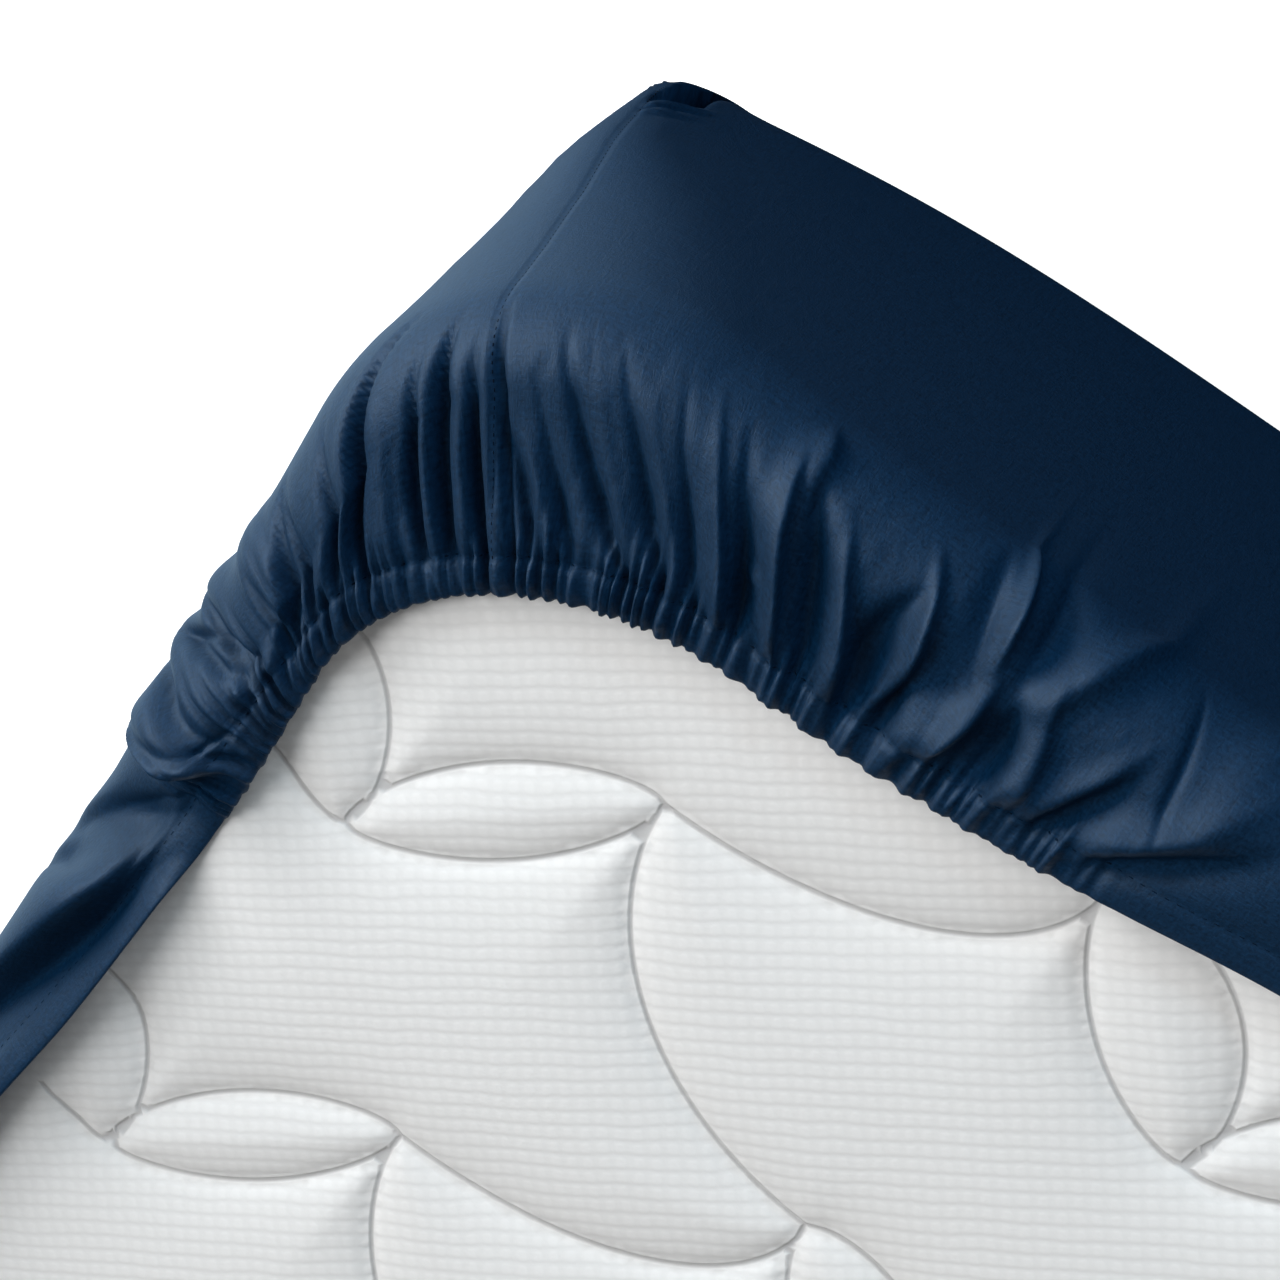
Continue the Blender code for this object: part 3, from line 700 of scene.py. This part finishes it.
def sewingThread(name, code):
    # spun polyester thread: a little fuzzy, with a dull shine
    material, tree, shader = newMaterial(name)
    place = addNode(tree, "ShaderNodeTexCoord").outputs["Object"]
    fuzz = addNode(tree, "ShaderNodeTexNoise", inputs={"Vector": place, "Scale": 1 / (0.6 * mm), "Detail": 1.0})
    colour = addNode(tree, "ShaderNodeMix", {"data_type": "RGBA"}, {
        "Factor": fuzz.outputs["Fac"], "A": linear("#050d18"), "B": linear(code),
    })
    tree.links.new(colour.outputs["Result"], shader.inputs["Base Color"])
    shader.inputs["Roughness"].default_value = 0.9
    shader.inputs["Specular IOR Level"].default_value = 0.1
    return material


def quiltedKnit():
    # stretch knit ticking: soft and matt, with rows of small pits where its two layers are joined
    material, tree, shader = newMaterial("whiteQuiltedKnit")
    place = addNode(tree, "ShaderNodeTexCoord").outputs["Object"]
    turned = addNode(tree, "ShaderNodeMapping", inputs={"Vector": place, "Rotation": (0, 0, math.radians(-38))})
    wander = addNode(tree, "ShaderNodeTexNoise", inputs={"Vector": place, "Scale": 60.0, "Detail": 2.0})
    moved = addNode(tree, "ShaderNodeVectorMath", {"operation": "MULTIPLY_ADD"}, {
        0: wander.outputs["Color"], 1: (0.0025, 0.0025, 0), 2: turned.outputs["Vector"],
    })
    parts = addNode(tree, "ShaderNodeSeparateXYZ", inputs={"Vector": moved.outputs[0]})
    waves = []
    for axis, pitch, sharp in (("X", 4.4 * mm, 1.5), ("Y", 3.9 * mm, 2.5)):
        turns = addNode(tree, "ShaderNodeMath", {"operation": "MULTIPLY"}, {0: parts.outputs[axis], 1: 2 * math.pi / pitch})
        cosine = addNode(tree, "ShaderNodeMath", {"operation": "COSINE"}, {0: turns.outputs[0]})
        raised = addNode(tree, "ShaderNodeMath", {"operation": "MULTIPLY_ADD"}, {0: cosine.outputs[0], 1: 0.5, 2: 0.5})
        waves.append(addNode(tree, "ShaderNodeMath", {"operation": "POWER"}, {0: raised.outputs[0], 1: sharp}))
    beads, rows = (wave.outputs[0] for wave in waves)
    between = addNode(tree, "ShaderNodeMath", {"operation": "SUBTRACT"}, {0: rows, 1: 1.0})
    raisedBeads = addNode(tree, "ShaderNodeMath", {"operation": "MULTIPLY"}, {0: beads, 1: between.outputs[0]})
    knit = addNode(tree, "ShaderNodeMath", {"operation": "ADD"}, {0: rows, 1: raisedBeads.outputs[0]})
    fluff = addNode(tree, "ShaderNodeTexNoise", inputs={"Vector": place, "Scale": 1 / (1.4 * mm), "Detail": 2.0})
    depth = addNode(tree, "ShaderNodeMath", {"operation": "MULTIPLY_ADD"}, {0: fluff.outputs["Fac"], 1: 0.9, 2: knit.outputs[0]})
    # the knit is painted a little darker where it lies deeper, in its pits and rows: painted shade
    colour = addNode(tree, "ShaderNodeMix", {"data_type": "RGBA"}, {
        "Factor": depth.outputs[0], "A": linear("#eeeeed"), "B": linear("#e8e8e7"),
    })
    # the stitch lines: a thin crease, painted greyer than the knit beside it: the thread in it, and painted shade where
    # the crease closes
    fromStitch = addNode(tree, "ShaderNodeAttribute", {"attribute_name": "fromStitch"}).outputs["Fac"]
    clear = addNode(tree, "ShaderNodeMapRange", {"interpolation_type": "SMOOTHSTEP"}, {
        "Value": fromStitch, "From Min": 0.0001, "From Max": 0.001, "To Min": 0.0, "To Max": 1.0,
    })
    shaded = addNode(tree, "ShaderNodeMix", {"data_type": "RGBA"}, {
        "Factor": clear.outputs["Result"], "A": linear("#c8c8c8"), "B": colour.outputs["Result"],
    })
    tree.links.new(shaded.outputs["Result"], shader.inputs["Base Color"])
    height = addNode(tree, "ShaderNodeMath", {"operation": "MULTIPLY"}, {0: depth.outputs[0], 1: -1.0})
    bump = addNode(tree, "ShaderNodeBump", inputs={"Height": height.outputs[0], "Distance": 0.0005, "Strength": 0.12})
    crease = addNode(tree, "ShaderNodeBump", inputs={
        "Height": clear.outputs["Result"], "Distance": 0.0008, "Strength": 0.6, "Normal": bump.outputs["Normal"],
    })
    tree.links.new(crease.outputs["Normal"], shader.inputs["Normal"])
    shader.inputs["Roughness"].default_value = 0.9
    shader.inputs["Specular IOR Level"].default_value = 0.2
    return material


# the mattress: quilted on top, plain where the sheet covers it

quilt = {
    "side": 3.5 * mm,  # how far it lies inside the cloth's skin at the sides
    "face": 1.8 * mm,
    "ease": 2 * mm,
    "puff": 4.2 * mm,  # how high the filling stands between its stitch lines
    "shoulder": 11 * mm,  # how soon it rises beside a line
    "pinch": 0.9 * mm,  # the narrow crease that the thread draws in
    "pinchWidth": 1.6 * mm,
    "give": 1.8 * mm,
    "fineStep": 2.1 * mm,
    "step": 8 * mm,
    "fineReach": 350 * mm,
    # one motif, in mm from the corner: two waves leave a node, and two leaves lead from a wave's end to the next node
    "node": (124, 102),
    "onward": (211, -62),
    "across": (-9, 121),
    "wave": (96, -51),
    "leaf": (52, 46),
    "firstBulges": (13, -22),
    "secondBulges": (12, -13),
}


def leafArc(start, reach, bulge, part):
    start, reach = np.array(start, float), np.array(reach, float)
    sideways = np.array((-reach[1], reach[0])) / np.linalg.norm(reach)
    swell = bulge * np.sin(math.pi * part) ** 0.6
    return start + reach * part[:, None] + sideways * swell[:, None]


def quiltLines():
    # points along all the stitch lines, in mm from the photographed corner along its two sides
    part = np.linspace(0, 1, 260)
    turn = part[:, None] * math.pi / 2
    onward, across, wave, leaf = (np.array(quilt[key], float) for key in ("onward", "across", "wave", "leaf"))
    opposite = wave + across
    motif = [
        np.concatenate([wave[0] * np.sin(turn), wave[1] * (1 - np.cos(turn))], 1),
        np.concatenate([opposite[0] * (1 - np.cos(turn)), opposite[1] * np.sin(turn)], 1),
    ]
    motif += [leafArc(wave, leaf, bulge, part) for bulge in quilt["firstBulges"]]
    motif += [leafArc(wave + leaf, onward - wave - leaf, bulge, part) for bulge in quilt["secondBulges"]]
    motif = np.concatenate(motif)
    lines = []
    for onwards in range(-2, 11):
        for acrosses in range(-2, 15):
            lines.append(motif + quilt["node"] + onwards * onward + acrosses * across)
    lines = np.concatenate(lines)
    inside = (lines > 0).all(1) & (lines[:, 0] < block["length"] / mm) & (lines[:, 1] < block["width"] / mm)
    return lines[inside]


def gridLines(length, inset):
    # places of the grid's lines from the photographed end: close together in view, wider beyond
    fine = np.arange(inset, quilt["fineReach"], quilt["fineStep"])
    count = round((length - inset - quilt["fineReach"]) / quilt["step"])
    return np.concatenate([fine, np.linspace(quilt["fineReach"], length - inset, count + 1)])


def splitAlong(faces, onLine):
    # quads whose opposite corners both lie on a stitch line are parted there, so that the crease has no gaps
    parted = []
    for a, b, c, d in faces:
        one, other = int(onLine[a]) + int(onLine[c]), int(onLine[b]) + int(onLine[d])
        if (one, other) in ((2, 0), (1, 2)):
            parted += [(a, b, c), (a, c, d)]
        elif (one, other) in ((0, 2), (2, 1)):
            parted += [(a, b, d), (b, c, d)]
        else:
            parted.append((a, b, c, d))
    return parted


def makeMattress():
    inset = quilt["side"] + block["rim"] + quilt["ease"]
    radius = block["rimPlan"] - inset
    length, width = block["length"], block["width"]
    along, across = gridLines(length, inset), gridLines(width, inset)
    place = np.stack(np.meshgrid(along, across, indexing="ij"), -1)
    # the grid's square corners are drawn in to round ones
    size = np.array((length, width))
    toEdge = np.minimum(place, size - place) - inset
    part = np.clip(1 - toEdge / radius, 0, 1)
    drawn = part * np.sqrt(1 - part[..., ::-1] ** 2 / 2)
    place = place + np.where(place < size / 2, 1, -1) * radius * (part - drawn)

    lines = quiltLines() * mm
    tree = kdtree.KDTree(len(lines))
    for index, point in enumerate(lines):
        tree.insert((point[0], point[1], 0), index)
    tree.balance()
    flat = place.reshape(-1, 2)
    nearest = np.array([tree.find((point[0], point[1], 0))[1:] for point in flat.tolist()])
    onLine, distance = lines[nearest[:, 0].astype(int)].reshape(place.shape), nearest[:, 1].reshape(place.shape[:2])
    # points close to a stitch line move on to it, so that the crease runs clean
    cell = np.where((place < quilt["fineReach"]).all(-1), quilt["fineStep"], quilt["step"])
    toRim = (np.minimum(place, size - place) - inset).min(-1)
    snapped = (distance < 0.55 * cell) & (toRim > 0.3 * cell)
    place = np.where(snapped[..., None], onLine, place)
    distance = np.where(snapped, 0, distance)
    puff = quilt["puff"] * (1 - np.exp(-distance / quilt["shoulder"]))
    sag = quilt["puff"] - puff + quilt["pinch"] * np.exp(-((distance / quilt["pinchWidth"]) ** 2))
    sag = sag + 0.5 * mm * (1 + waver(place[..., 0] / (38 * mm), 2) * waver(place[..., 1] / (31 * mm), 6))
    top = block["height"] - quilt["face"]
    height = top - sag * smoothStep(toRim, -0.5 * mm, 16 * mm)
    points = np.stack([length / 2 - place[..., 0], place[..., 1] - width / 2, height], -1)[::-1]

    rows, columns = points.shape[:2]
    order = np.arange(rows * columns).reshape(rows, columns)
    loop = np.concatenate([order[::-1, 0], order[0, 1:], order[1:, -1], order[-1, -2:0:-1]])
    edge = points.reshape(-1, 3)[loop]
    # which section of the block each point of the edge belongs to
    fineRuns = [np.linspace(-halfSide(corner, "before"), halfSide(corner, "after"), 4001) for corner in range(4)]
    level = np.full(4001, 3.0)
    shape = {"side": quilt["side"], "face": quilt["face"], "ease": quilt["ease"]}
    outline = [section(corner, fineRuns[corner], level, **shape)[0] for corner in range(4)]
    allPoints, allRuns = np.concatenate(outline)[:, :2], np.concatenate(fineRuns)
    owner = np.repeat(np.arange(4), 4001)
    chosen = np.array([np.argmin(((allPoints - point[:2]) ** 2).sum(1)) for point in edge])
    rings = []
    for stage in (0, 0.25, 0.5, 0.75, 1, 1.4, 1.8, 2, 2.2, 2.4, 2.6, 2.8):
        ring = np.zeros((len(loop), 3))
        for corner in range(4):
            mine = owner[chosen] == corner
            runs = allRuns[chosen][mine]
            ring[mine], _, _, inward = section(corner, runs, np.full(mine.sum(), stage), **shape)
            if corner == 0 and stage <= 1:
                # the foot of this corner is drawn in, to leave room for the tuck in the cloth
                ring[mine] += inward * 27 * mm * np.exp(-(((runs / mm - 7) / 15) ** 4))[:, None]
            if 1 < stage < 3:
                # the corners are soft, and give way where the gathered cloth is drawn in
                ring[mine] += (inward - np.array([0, 0, 1.0])) * (quilt["give"] * cornerSoftness(corner, runs))[:, None]
        rings.append(ring)
    points = np.concatenate([points.reshape(-1, 3), np.concatenate(rings)])
    faces = splitAlong(quadFaces(rows, columns, closed=False), snapped[::-1].ravel())
    wall = np.array([rows * columns + ring * len(loop) + np.arange(len(loop)) for ring in range(len(rings))] + [loop])
    for lower, upper in zip(wall[:-1], wall[1:]):
        faces += np.stack([lower, upper, np.roll(upper, -1), np.roll(lower, -1)], 1).tolist()
    faces.append(tuple(wall[0].tolist()))
    piece = gridMesh("mattressTicking", points, faces)
    # how far each point lies from a stitch line, for the material
    away = np.full(len(points), 1.0)
    away[:rows * columns] = distance[::-1].ravel()
    piece.data.attributes.new("fromStitch", "FLOAT", "POINT").data.foreach_set("value", away.astype(np.float32))
    print("mattress:", len(faces), "faces")
    return piece


# floor and light

studio = {
    "floor": "#f7f7f7",
    "floorGlow": 0.8,
    "sunPlace": (0.52, 0.04, 0.82),
    "sunPower": 1.54,
    "keyPlace": (1.72, -0.56, 0.6),
    "keyAim": (0.95, -0.43, 0.15),
    "keySize": 0.4,
    "keyPower": 4.1,
    "sheenPower": 7,
    "skyPower": 0.27,
    "bouncePlace": (2.0, 0.1, 0.01),
    "bounceSize": 1.8,
    "bouncePower": 20,
    "fillPlace": (0.95, -1.5, 0.55),
    "fillAim": (0.8, -0.45, 0.12),
    "fillSize": 0.5,
    "fillPower": 5.5,
}


def addLight(name, kind, place, aim, power):
    data = bpy.data.lights.new(name, kind)
    data.energy = power
    lamp = bpy.data.objects.new(name, data)
    bpy.context.scene.collection.objects.link(lamp)
    lamp.location = place
    lamp.rotation_euler = (Vector(place) - Vector(aim)).to_track_quat("Z", "Y").to_euler()
    return lamp


def makeStudio():
    bpy.ops.mesh.primitive_plane_add(size=40, location=(0, 0, 0))
    floor = bpy.context.object
    floor.name = "floor"
    material, tree, shader = newMaterial("palePaper")
    shader.inputs["Base Color"].default_value = linear(studio["floor"])
    shader.inputs["Roughness"].default_value = 1.0
    shader.inputs["Emission Color"].default_value = (1, 1, 1, 1)
    shader.inputs["Emission Strength"].default_value = studio["floorGlow"]
    floor.data.materials.append(material)
    floor.visible_glossy = False
    floor.visible_diffuse = False
    sun = addLight("sun", "SUN", studio["sunPlace"], (0, 0, 0), studio["sunPower"])
    sun.data.angle = 0.6
    sun.visible_glossy = False
    key = addLight("key", "AREA", studio["keyPlace"], studio["keyAim"], studio["keyPower"])
    key.data.size = studio["keySize"]
    # a lamp beside the key that only its reflection in the cloth shows
    sheen = addLight("sheen", "AREA", studio["keyPlace"], studio["keyAim"], studio["sheenPower"])
    sheen.data.size = studio["keySize"]
    sheen.visible_diffuse = False
    # a white sheet on the floor beside the short side, seen only as a soft reflection in the cloth
    bounce = addLight("bounce", "AREA", studio["bouncePlace"], (studio["bouncePlace"][0], studio["bouncePlace"][1], 1), 0)
    bounce.data.energy = studio["bouncePower"]
    bounce.data.size = studio["bounceSize"]
    bounce.data.color = (0.62, 0.84, 1)
    bounce.visible_diffuse = False
    bounce.visible_camera = False
    fill = addLight("fill", "AREA", studio["fillPlace"], studio["fillAim"], studio["fillPower"])
    fill.data.size = studio["fillSize"]
    fill.data.color = (0.66, 0.86, 1)
    fill.visible_glossy = False
    # the sky is bright overhead and fades to grey at the level of the floor
    world = bpy.data.worlds.new("softRoom")
    bpy.context.scene.world = world
    world.use_nodes = True
    tree = world.node_tree
    place = addNode(tree, "ShaderNodeTexCoord").outputs["Generated"]
    parts = addNode(tree, "ShaderNodeSeparateXYZ", inputs={"Vector": place})
    shade = addNode(tree, "ShaderNodeMapRange", inputs={
        "Value": parts.outputs["Z"], "From Min": -0.3, "From Max": 0.9, "To Min": 0.25, "To Max": 1.0,
    })
    tree.links.new(shade.outputs["Result"], tree.nodes["Background"].inputs["Color"])
    tree.nodes["Background"].inputs["Strength"].default_value = studio["skyPower"]
    world.cycles_visibility.glossy = False
    bpy.context.scene.view_settings.view_transform = "Standard"


makeCamera()
sheetPiece, sheetPoints, sheetRuns = makeSheet()
sheetPiece.data.materials.append(cottonSateen())
hemStitches, seamStitches = makeStitches(sheetPoints, sheetRuns)
hemStitches.data.materials.append(sewingThread("navySewingThread", "#0e2a44"))
# the seam's thread is given a darker colour than the hem's: painted shade of the needle holes along the seam, over the
# thread's own navy
seamStitches.data.materials.append(sewingThread("seamThreadPaintedShade", "#071526"))
mattressPiece = makeMattress()
mattressPiece.data.materials.append(quiltedKnit())
makeStudio()

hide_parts("fitted_sheet")
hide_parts("mattress")
for piece, slot in (
    (sheetPiece, "sheet_cotton"), (hemStitches, "sheet_cotton"), (seamStitches, "sheet_cotton"), (mattressPiece, "ticking"),
):
    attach(piece, "root")
